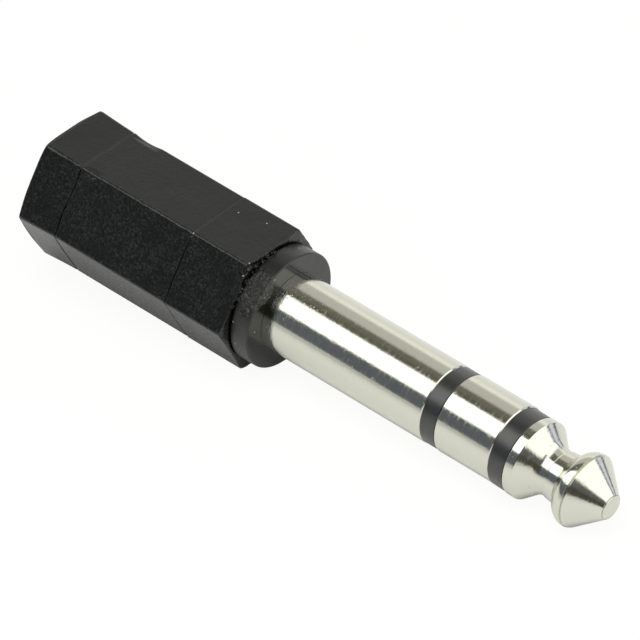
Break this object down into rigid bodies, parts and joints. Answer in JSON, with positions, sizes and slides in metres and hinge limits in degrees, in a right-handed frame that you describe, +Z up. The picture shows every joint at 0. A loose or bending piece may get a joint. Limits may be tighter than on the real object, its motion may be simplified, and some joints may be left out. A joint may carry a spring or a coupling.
{
  "type": "audio jack adapter",
  "caption": "Stereo audio adapter with a 6.35 mm plug on a six-sided moulded body and a 3.5 mm socket in its rear end.",
  "frame": {"origin": "on the plug's axis at its shoulder, the front face of the round collar", "axes": "+X along the plug towards its tip, +Z up with a flat of the body facing down"},
  "size_m": [0.0529, 0.0118, 0.0104],
  "materials": {
    "shell_plastic": "fine moulded grain, satin black",
    "collar_plastic": "smooth satin black with a rough gate mark",
    "nickel_plate": "polished nickel plate over brass",
    "insulator_plastic": "turned black plastic",
    "terminal_brass": "stamped brass",
    "washer_board": "brown pressed insulating board",
    "core_plastic": "moulded black",
    "bush_nickel": "turned, nickel plated",
    "spring_bronze": "rolled spring bronze",
    "solder": "bright solder"
  },
  "bodies": {
    "root": {"hex_shell": "shell_plastic", "front_collar": "collar_plastic", "plug_sleeve": "nickel_plate", "sleeve_ring_insulator": "insulator_plastic", "plug_ring": "nickel_plate", "ring_tip_insulator": "insulator_plastic", "plug_tip": "nickel_plate", "tip_rod": "nickel_plate", "sleeve_terminal": "terminal_brass", "front_washer": "washer_board", "ring_terminal": "terminal_brass", "rear_washer": "washer_board", "tip_terminal": "terminal_brass", "socket_core": "core_plastic", "socket_bush": "bush_nickel", "ground_strip": "spring_bronze", "ring_spring": "spring_bronze", "tip_spring": "spring_bronze", "sleeve_solder": "solder", "ring_solder": "solder", "tip_solder": "solder"}
  },
  "joints": []
}
